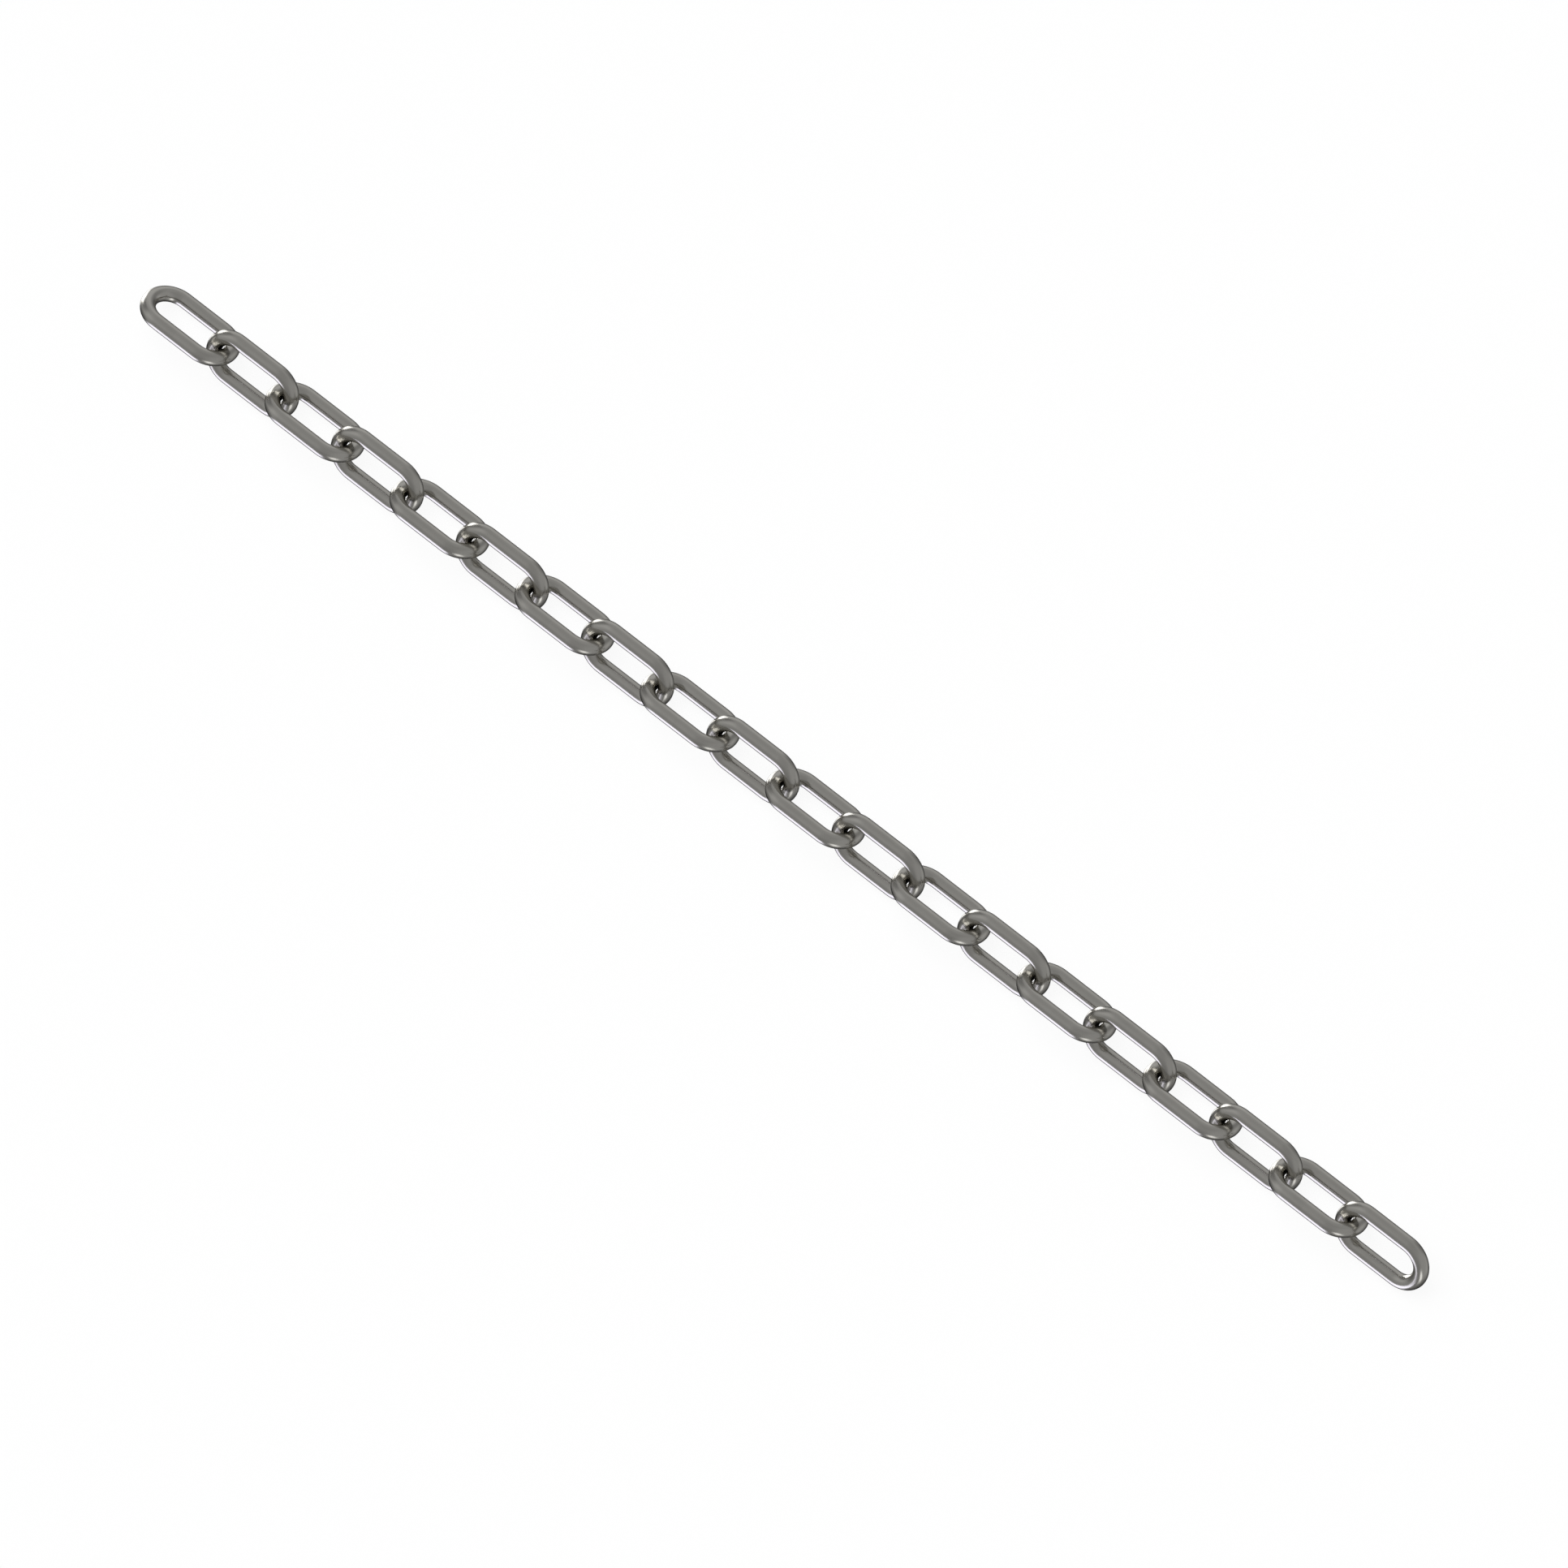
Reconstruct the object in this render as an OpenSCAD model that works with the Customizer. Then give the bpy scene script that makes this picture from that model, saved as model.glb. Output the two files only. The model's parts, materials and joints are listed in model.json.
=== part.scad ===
// Safety chain of plain steel links.
// It lies straight on a flat surface: X runs along it, Z is up, and the origin is under its middle.
// Every link is one closed ring of round wire: two straight legs and two half-round bends.
// A link passes through both its neighbours and stands a quarter turn from them, so at rest
// each one leans halfway over to its own side, with its lower leg on the surface.

/* [Wire] */
// Diameter of the round wire that the links are bent from
wire_d = 3.5; // [2:0.1:5]

/* [Link] */
// Length of a link's opening, which is the pitch of the chain when it is pulled tight
inner_length = 18; // [16:0.5:40]
// Width of a link's opening, from one leg to the other
inner_width = 7; // [6:0.1:12]

/* [Chain] */
// Number of links
link_count = 20; // [2:1:60]
// Play between the bends of two neighbouring links where one hangs in the other
crown_play = 0.15; // [0.05:0.01:0.5]

/* [Hidden] */
// One name for each link, counted from the -X end
$fn = 64;
// Colour of the bare steel
steel = [0.56, 0.56, 0.54];
// Radius of a bend, to the middle of the wire
bend_r = (inner_width + wire_d) / 2;
// Straight length of a leg, from one bend to the other
leg_length = inner_length - inner_width;
// Distance from the middle of one link to the middle of the next
link_step = inner_length - crown_play;
// How far each link leans over, half of the quarter turn between neighbours
lean = 45;
// Height of the chain's axis with every link's lower leg on the surface
axis_z = bend_r * sin(lean) + wire_d / 2;

// The half-round bend at a link's +X end
module bend() {
    translate([leg_length / 2, 0, 0])
        rotate([0, 0, -90])
            rotate_extrude(angle = 180)
                translate([bend_r, 0])
                    circle(d = wire_d);
}

// The straight leg on a link's +Y side
module leg() {
    translate([-leg_length / 2, bend_r, 0])
        rotate([0, 90, 0])
            cylinder(d = wire_d, h = leg_length);
}

// A whole link, flat in the XY plane with its middle at the origin
module ring() {
    for (half = [0, 180])
        rotate([0, 0, half]) {
            bend();
            leg();
        }
}

// Link number n in its place in the chain, odd ones leaning to one side and even ones to the other
module chain_link(n) {
    side = n % 2 == 1 ? -1 : 1;
    color(steel)
        translate([(n - (link_count + 1) / 2) * link_step, 0, axis_z])
            rotate([side * lean, 0, 0])
                ring();
}

for (n = [1 : link_count])
    chain_link(n);
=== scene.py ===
"""Safety chain: twenty links of bare drawn steel wire, laid out straight on a white table."""

import json
import math

import bmesh
import bpy
from mathutils import Matrix, Vector

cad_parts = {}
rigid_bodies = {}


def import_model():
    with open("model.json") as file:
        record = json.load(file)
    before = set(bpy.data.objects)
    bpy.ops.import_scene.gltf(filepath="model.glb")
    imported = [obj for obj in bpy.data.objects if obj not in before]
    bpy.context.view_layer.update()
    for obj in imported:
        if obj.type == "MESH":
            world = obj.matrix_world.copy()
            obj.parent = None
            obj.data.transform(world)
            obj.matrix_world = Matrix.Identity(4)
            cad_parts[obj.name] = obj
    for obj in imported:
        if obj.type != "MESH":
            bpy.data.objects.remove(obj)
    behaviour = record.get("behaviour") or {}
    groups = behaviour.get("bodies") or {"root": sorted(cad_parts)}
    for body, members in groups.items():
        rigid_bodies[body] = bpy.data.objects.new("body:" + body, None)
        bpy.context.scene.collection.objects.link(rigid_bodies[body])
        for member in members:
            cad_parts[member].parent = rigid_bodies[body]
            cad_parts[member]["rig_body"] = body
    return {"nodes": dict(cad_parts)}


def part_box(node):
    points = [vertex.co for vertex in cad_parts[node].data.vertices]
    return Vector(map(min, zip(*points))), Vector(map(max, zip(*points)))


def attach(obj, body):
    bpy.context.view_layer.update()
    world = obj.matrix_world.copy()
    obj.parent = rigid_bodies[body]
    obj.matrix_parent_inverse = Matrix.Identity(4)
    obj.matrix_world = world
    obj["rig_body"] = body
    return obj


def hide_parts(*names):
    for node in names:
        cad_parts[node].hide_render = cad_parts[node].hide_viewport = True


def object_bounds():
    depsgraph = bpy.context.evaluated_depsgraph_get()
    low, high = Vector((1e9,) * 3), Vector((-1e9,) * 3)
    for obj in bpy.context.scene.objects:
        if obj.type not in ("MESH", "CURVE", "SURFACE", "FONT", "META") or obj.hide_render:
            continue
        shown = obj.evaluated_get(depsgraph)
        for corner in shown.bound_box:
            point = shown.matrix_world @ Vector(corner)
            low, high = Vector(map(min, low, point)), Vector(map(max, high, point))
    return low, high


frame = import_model()
cad_low, cad_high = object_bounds()

MM = 0.001

# The wire and the link, as in the part's source
WIRE = 3.5 * MM
INNER_LENGTH = 18 * MM
INNER_WIDTH = 7 * MM
BEND = (INNER_WIDTH + WIRE) / 2  # radius of a bend, to the middle of the wire
LEG = INNER_LENGTH - INNER_WIDTH
WIRE_LENGTH = 2 * LEG + 2 * math.pi * BEND  # the cut length that one link is bent from
LEAN = math.radians(45)

# How finely the wire is rounded and bent
ROUND_STEPS = 48
BEND_STEPS = 40
LEG_STEPS = 3
SAME_POINT = 0.001 * MM


# Camera

CAMERA_TURN = math.radians(37.66)
CAMERA_TILT = math.radians(15.98)
CAMERA_ROLL = math.radians(0.29)
LENS = 1500
SENSOR = 36
CLIP_NEAR, CLIP_FAR = 0.1, 100
VIEW_WIDTH = 339.6 * MM  # at the chain
# How far the camera aims to the left of the chain's middle and above it
AIM_LEFT = 0.03 * MM
AIM_UP = 0.07 * MM


def set_camera():
    """Looks down on the chain from a little to its +X end, turned so that it runs corner to corner."""
    data = bpy.data.cameras.new("camera")
    data.lens = LENS
    data.sensor_width = SENSOR
    data.clip_start, data.clip_end = CLIP_NEAR, CLIP_FAR
    view = Matrix.Rotation(CAMERA_ROLL, 3, "X")
    view = view @ Matrix.Rotation(CAMERA_TILT, 3, "Y") @ Matrix.Rotation(CAMERA_TURN, 3, "Z")
    aim = Vector((0, 0, (cad_high.z + cad_low.z) / 2)) + view.col[1] * AIM_UP - view.col[0] * AIM_LEFT
    distance = VIEW_WIDTH * LENS / SENSOR
    camera = bpy.data.objects.new("camera", data)
    camera.matrix_world = Matrix.Translation(aim + view.col[2] * distance) @ view.to_4x4()
    bpy.context.scene.collection.objects.link(camera)
    bpy.context.scene.camera = camera


# Material nodes


def put(tree, kind, *inputs, named=None, **settings):
    """Adds a node. Each input, in order or by name, is a socket to link, a value to set, or None."""
    node = tree.nodes.new("ShaderNode" + kind)
    for name, value in settings.items():
        setattr(node, name, value)
    wanted = list(zip(node.inputs, inputs))
    wanted += [(node.inputs[name], value) for name, value in (named or {}).items()]
    for socket, value in wanted:
        if isinstance(value, bpy.types.NodeSocket):
            tree.links.new(value, socket)
        elif value is not None:
            socket.default_value = value
    return node


def new_nodes(owner):
    """Turns on the nodes of a material or a world, and clears them."""
    owner.use_nodes = True
    owner.node_tree.nodes.clear()
    return owner.node_tree


def calculated(tree, operation, *values):
    return put(tree, "Math", *values, operation=operation).outputs[0]


def sum_of(tree, a, b):
    return calculated(tree, "ADD", a, b)


def product(tree, a, b):
    return calculated(tree, "MULTIPLY", a, b)


def fade(tree, value, full, none, high=1.0, low=0.0):
    """high where value is at full or past it, low where it is at none, with a smooth ramp between."""
    ends = (full, none, high, low) if full < none else (none, full, low, high)
    return put(tree, "MapRange", value, *ends, interpolation_type="SMOOTHSTEP", clamp=True).outputs[0]


# Links


def wire_place(point):
    """Where a point of the flat link lies on its wire: length along it, and turns round it.

    The turns start at the outside of the link.
    """
    x, y, z = point
    past = max(abs(x) - LEG / 2, 0) * (1 if x > 0 else -1)
    out = math.hypot(past, y) - BEND
    swing = math.atan2(abs(past), -y) if x > 0 else math.atan2(abs(past), y)
    if past == 0:
        along = x if y < 0 else LEG + math.pi * BEND - x
    elif x > 0:
        along = LEG / 2 + BEND * swing
    else:
        along = LEG * 1.5 + math.pi * BEND + BEND * swing
    return along % WIRE_LENGTH, math.atan2(z, out) / (2 * math.pi)


def nearest_turn(value, centre, whole):
    """value, moved by whole turns to lie within half a turn of centre."""
    return value - whole * round((value - centre) / whole)


def bent_link():
    """One link, flat in the XY plane: wire spun round a bend, drawn out into half legs, and doubled."""
    bm = bmesh.new()
    cut_end = Matrix.Translation((LEG / 2, -BEND, 0)) @ Matrix.Rotation(math.pi / 2, 4, "Y")
    bmesh.ops.create_circle(bm, cap_ends=False, radius=WIRE / 2, segments=ROUND_STEPS, matrix=cut_end)
    bmesh.ops.spin(
        bm,
        geom=bm.verts[:] + bm.edges[:],
        cent=(LEG / 2, 0, 0),
        axis=(0, 0, 1),
        angle=math.pi,
        steps=BEND_STEPS,
    )
    for _ in range(LEG_STEPS):
        ends = [e for e in bm.edges if e.is_boundary]
        drawn = bmesh.ops.extrude_edge_only(bm, edges=ends)["geom"]
        new_ends = [v for v in drawn if isinstance(v, bmesh.types.BMVert)]
        bmesh.ops.translate(bm, vec=(-LEG / 2 / LEG_STEPS, 0, 0), verts=new_ends)
    other = bmesh.ops.duplicate(bm, geom=bm.verts[:] + bm.edges[:] + bm.faces[:])["geom"]
    bmesh.ops.rotate(
        bm,
        cent=(0, 0, 0),
        matrix=Matrix.Rotation(math.pi, 3, "Z"),
        verts=[v for v in other if isinstance(v, bmesh.types.BMVert)],
    )
    bmesh.ops.remove_doubles(bm, verts=bm.verts[:], dist=SAME_POINT)
    bmesh.ops.recalc_face_normals(bm, faces=bm.faces[:])
    for face in bm.faces:
        face.smooth = True
    return bm


def lay_wire_map(bm, start):
    """UV map that follows the wire: U is metres along it, from start on, and V the turns round it."""
    wire = bm.loops.layers.uv.new("wire")
    for face in bm.faces:
        along, turns = wire_place(face.calc_center_median())
        for loop in face.loops:
            u, v = wire_place(loop.vert.co)
            loop[wire].uv = (
                start + nearest_turn(u, along, WIRE_LENGTH),
                nearest_turn(v, turns, 1),
            )


def make_links(steel):
    """A bent link in the place of each CAD link. Each takes its own stretch of the wire's pattern."""
    for number, (name, node) in enumerate(sorted(frame["nodes"].items()), 1):
        low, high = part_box(name)
        bm = bent_link()
        lay_wire_map(bm, number * 3 * WIRE_LENGTH)
        lean = -LEAN if number % 2 else LEAN
        place = Matrix.Translation((low + high) / 2) @ Matrix.Rotation(lean, 4, "X")
        bmesh.ops.transform(bm, matrix=place, verts=bm.verts[:])
        mesh = bpy.data.meshes.new("wire_" + name)
        bm.to_mesh(mesh)
        bm.free()
        mesh.materials.append(steel)
        link = bpy.data.objects.new("wire_" + name, mesh)
        bpy.context.scene.collection.objects.link(link)
        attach(link, node["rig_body"])
        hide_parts(name)


# Where links rub and where the wire was stretched. Each pair is where that is full and where it is gone:
# along the wire from the middle of a bend, and round it from 1 at the link's outside to -1 at its inside
RUBBED_ALONG = (0.8 * MM, 2.6 * MM)
RUBBED_ROUND = (-0.92, -0.45)
STRETCHED_ALONG = (BEND, 1.7 * BEND)
STRETCHED_ROUND = (0.8, 0.0)

# Patterns: cells per metre along the wire, cells round it, detail and how rough the detail is
DIE_LINES = (70, 20, 3.0, 0.6)
PATCHES = (240, 0.9, 2.0, 0.5)
PATCH_SHARE = 0.6
LINE_DEPTH = 0.002 * MM
LINE_STRENGTH = 0.4

# Colour of the steel, at a low and a high stop of its pattern
DARK_STOP, DARK_STEEL = 0.3, (0.532, 0.519, 0.484, 1)
LIGHT_STOP, LIGHT_STEEL = 0.7, (0.588, 0.573, 0.536, 1)
RUBBED_LIGHTER = 0.12
EDGE_TINT = (0.6, 0.6, 0.6, 1)

# Roughness of the plain wire, and what its pattern, stretched and rubbed places add
SATIN = 0.19
PATTERN_SATIN = -0.12
STRETCHED_SATIN = 0.04
RUBBED_SATIN = -0.07


def drawn_steel():
    """Bare drawn wire: satin, with fine die lines along it and faint patches.

    It is duller outside the bends, where the wire was stretched, and polished where links rub.
    """
    material = bpy.data.materials.new("drawn_steel")
    tree = new_nodes(material)
    wire = put(tree, "UVMap", uv_map="wire").outputs[0]
    split = put(tree, "SeparateXYZ", wire).outputs
    along, turns = split[0], split[1]
    angle = product(tree, turns, 2 * math.pi)
    across = calculated(tree, "COSINE", angle)
    beside = calculated(tree, "SINE", angle)

    def noise(length_scale, round_scale, detail, detail_roughness):
        """Noise that closes all round the wire."""
        cells = put(
            tree,
            "CombineXYZ",
            product(tree, along, length_scale),
            product(tree, across, round_scale),
            product(tree, beside, round_scale),
        ).outputs[0]
        return put(tree, "TexNoise", cells, None, 1.0, detail, detail_roughness).outputs[0]

    # The middle of a bend comes once in each half of a link's wire
    half = calculated(tree, "FRACT", product(tree, along, 2 / WIRE_LENGTH))
    from_crown = calculated(tree, "ABSOLUTE", sum_of(tree, half, -0.5))
    from_crown = product(tree, from_crown, WIRE_LENGTH / 2)
    rubbed = product(tree, fade(tree, from_crown, *RUBBED_ALONG), fade(tree, across, *RUBBED_ROUND))
    stretched = product(tree, fade(tree, from_crown, *STRETCHED_ALONG), fade(tree, across, *STRETCHED_ROUND))

    die_lines = noise(*DIE_LINES)
    patches = noise(*PATCHES)
    shade = sum_of(tree, product(tree, die_lines, 1 - PATCH_SHARE), product(tree, patches, PATCH_SHARE))
    colour = put(tree, "ValToRGB", sum_of(tree, shade, product(tree, rubbed, RUBBED_LIGHTER)))
    low_stop, high_stop = colour.color_ramp.elements
    low_stop.position, low_stop.color = DARK_STOP, DARK_STEEL
    high_stop.position, high_stop.color = LIGHT_STOP, LIGHT_STEEL

    satin = sum_of(tree, SATIN, product(tree, sum_of(tree, shade, -0.5), PATTERN_SATIN))
    satin = sum_of(tree, satin, product(tree, stretched, STRETCHED_SATIN))
    roughness = sum_of(tree, satin, product(tree, rubbed, RUBBED_SATIN))
    bump = put(tree, "Bump", named={"Strength": LINE_STRENGTH, "Distance": LINE_DEPTH, "Height": die_lines})
    steel = put(
        tree,
        "BsdfPrincipled",
        named={
            "Base Color": colour.outputs[0],
            "Metallic": 1.0,
            "Roughness": roughness,
            "Specular Tint": EDGE_TINT,
            "Normal": bump.outputs[0],
        },
    )
    put(tree, "OutputMaterial", steel.outputs[0])
    return material


# Studio

# Soft cards of the studio: azimuth, elevation, roll, width, height and edge in degrees, then what
# each adds to the studio's light, in parts of its level, and its tint
WHITE, COOL = (1, 1, 1), (0.95, 0.94, 1.12)
CARDS = {
    "side strip": (-104, -23.25, -17, 25, 43.5, 8, 4.5, COOL),
    "end panel": (168, -29, 15, 28, 50, 8, 7.5, WHITE),
    "corner panel": (-51, 1, 0, 20, 29, 14, 3.1, WHITE),
    "far glow": (-166, 40, 0, 40, 50, 40, 0.33, WHITE),
    "front glow": (26, -38, 0, 56, 44, 30, 0.44, WHITE),
    "corner glow": (124, -19, 0, 46, 60, 30, 0.5, WHITE),
    "top flag": (0, 80, 0, 90, 44, 30, -0.15, WHITE),
    "side flag": (-79, 8, 0, 54, 72, 40, -0.32, WHITE),
    "end flag": (168, 14, 0, 44, 44, 20, -0.48, WHITE),
    "rear flag": (-141, -20, 0, 34, 50, 25, -0.48, WHITE),
    "front flag": (76, -14, 0, 38, 56, 30, -0.3, WHITE),
}
LEVEL = 0.378

# The plain light fades towards the ground, from one height of a ray to another, down to a share
FADE_TOP, FADE_FOOT = -0.2, -0.9
GROUND_SHARE = 0.2

# The broad lamp
LAMP_AZIMUTH, LAMP_ELEVATION = 150, 62
LAMP_SPREAD = math.radians(50)
LAMP_POWER = 2.4


def direction(azimuth, elevation):
    """Unit vector for an azimuth from +X towards +Y and an elevation above the horizon, in degrees."""
    a, e = math.radians(azimuth), math.radians(elevation)
    return Vector((math.cos(a) * math.cos(e), math.sin(a) * math.cos(e), math.sin(e)))


def soft_card(tree, seen, azimuth, elevation, roll, width, height, edge):
    """Mask of a soft-edged card that hangs in a direction of the studio. Everything is in degrees."""
    face = direction(azimuth, elevation)
    side = Vector((-math.sin(math.radians(azimuth)), math.cos(math.radians(azimuth)), 0))
    side.rotate(Matrix.Rotation(math.radians(roll), 3, face))
    upright = face.cross(side)
    blur = math.sin(math.radians(edge))
    mask = None
    for across, size in ((side, width), (upright, height)):
        half = math.sin(math.radians(size / 2))
        offset = put(tree, "VectorMath", seen, tuple(across), operation="DOT_PRODUCT").outputs["Value"]
        offset = calculated(tree, "ABSOLUTE", offset)
        band = fade(tree, offset, half - blur / 2, half + blur / 2)
        mask = band if mask is None else product(tree, mask, band)
    # Without this, the card would show on the other side of the studio too
    towards = put(tree, "VectorMath", seen, tuple(face), operation="DOT_PRODUCT").outputs["Value"]
    return product(tree, mask, fade(tree, towards, 0.1, 0.0))


def light_studio():
    """Plain studio, a little darker towards the ground, with soft cards for the steel to show."""
    world = bpy.data.worlds.new("studio")
    bpy.context.scene.world = world
    tree = new_nodes(world)
    seen = put(tree, "TexCoord").outputs["Generated"]
    height = put(tree, "SeparateXYZ", seen).outputs[2]
    plain = fade(tree, height, FADE_TOP, FADE_FOOT, 1, GROUND_SHARE)
    light = put(tree, "CombineXYZ", plain, plain, plain).outputs[0]
    for *place_and_size, gain, tint in CARDS.values():
        mask = soft_card(tree, seen, *place_and_size)
        card = put(tree, "VectorMath", tuple(gain * c for c in tint), operation="SCALE")
        tree.links.new(mask, card.inputs["Scale"])
        light = put(tree, "VectorMath", light, card.outputs[0], operation="ADD").outputs[0]
    background = put(tree, "Background", light, LEVEL)
    put(tree, "OutputWorld", background.outputs[0])


def hang_lamp():
    """One broad lamp high on the left, for the table and its shadow."""
    data = bpy.data.lights.new("broad_lamp", "SUN")
    data.energy = LAMP_POWER
    data.angle = LAMP_SPREAD
    lamp = bpy.data.objects.new("broad_lamp", data)
    lamp.rotation_mode = "QUATERNION"
    lamp.rotation_quaternion = direction(LAMP_AZIMUTH, LAMP_ELEVATION).to_track_quat("Z", "Y")
    lamp.visible_glossy = False
    bpy.context.scene.collection.objects.link(lamp)


# Table and dish

# The table, and how much of it the camera sees through
STAGE_REACH = 30
SEE_THROUGH = 0.93
PAINT = (0.92, 0.92, 0.92, 1)
WHITE_GLOW = (1, 1, 1, 1)

# The white dish under the table, for links that a pose swings down: deep and wide enough for the whole
# chain to hang from its first link, with a wall as steep as the lowest view that looks into it
DISH_DEPTH = 0.19
DISH_FLOOR = 0.36
DISH_WALL = math.radians(15)
DISH_MIDDLE = (-0.1, 0, 0)
DISH_STEPS = 32
UNDER_TABLE = 1 * MM


def pale_paint(name, share, kind, *inputs):
    """Pale paint under the studio's light, of which the camera sees a share replaced by another shader."""
    material = bpy.data.materials.new(name)
    tree = new_nodes(material)
    paint = put(tree, "BsdfDiffuse", PAINT).outputs[0]
    instead = put(tree, kind, *inputs).outputs[0]
    rays = put(tree, "LightPath").outputs
    shown = calculated(tree, "MAXIMUM", rays["Is Camera Ray"], rays["Is Glossy Ray"])
    shown = calculated(tree, "MAXIMUM", shown, rays["Is Transmission Ray"])
    surface = put(tree, "MixShader", product(tree, shown, share), paint, instead)
    put(tree, "OutputMaterial", surface.outputs[0])
    return material


def set_on_stage(bm, name, material):
    """Puts a finished mesh into the scene with its material. The steel shows the studio's cards instead of
    it.
    """
    mesh = bpy.data.meshes.new(name)
    bm.to_mesh(mesh)
    bm.free()
    mesh.materials.append(material)
    piece = bpy.data.objects.new(name, mesh)
    bpy.context.scene.collection.objects.link(piece)
    piece.visible_glossy = False


def lay_table():
    """Pale table. It keeps a pale shadow of the chain, and otherwise lets the dish below it through."""
    bm = bmesh.new()
    bmesh.ops.create_grid(bm, x_segments=1, y_segments=1, size=STAGE_REACH)
    set_on_stage(bm, "table", pale_paint("pale_table", SEE_THROUGH, "BsdfTransparent"))


def set_dish():
    """White dish under the table with a wide rim, spun from its profile."""
    bm = bmesh.new()
    profile = [
        (0, -DISH_DEPTH),
        (DISH_FLOOR, -DISH_DEPTH),
        (DISH_FLOOR + DISH_DEPTH / math.tan(DISH_WALL), -UNDER_TABLE),
        (STAGE_REACH, -UNDER_TABLE),
    ]
    points = [bm.verts.new((out, 0, height)) for out, height in profile]
    edges = [bm.edges.new(pair) for pair in zip(points, points[1:])]
    bmesh.ops.spin(
        bm,
        geom=points + edges,
        cent=(0, 0, 0),
        axis=(0, 0, 1),
        angle=2 * math.pi,
        steps=DISH_STEPS,
        use_merge=True,
    )
    bmesh.ops.remove_doubles(bm, verts=bm.verts[:], dist=10 * SAME_POINT)
    bmesh.ops.translate(bm, vec=DISH_MIDDLE, verts=bm.verts[:])
    set_on_stage(bm, "dish", pale_paint("white_dish", 1, "Emission", WHITE_GLOW, 1.0))


bpy.context.scene.view_settings.view_transform = "Standard"
set_camera()
make_links(drawn_steel())
light_studio()
lay_table()
set_dish()
hang_lamp()
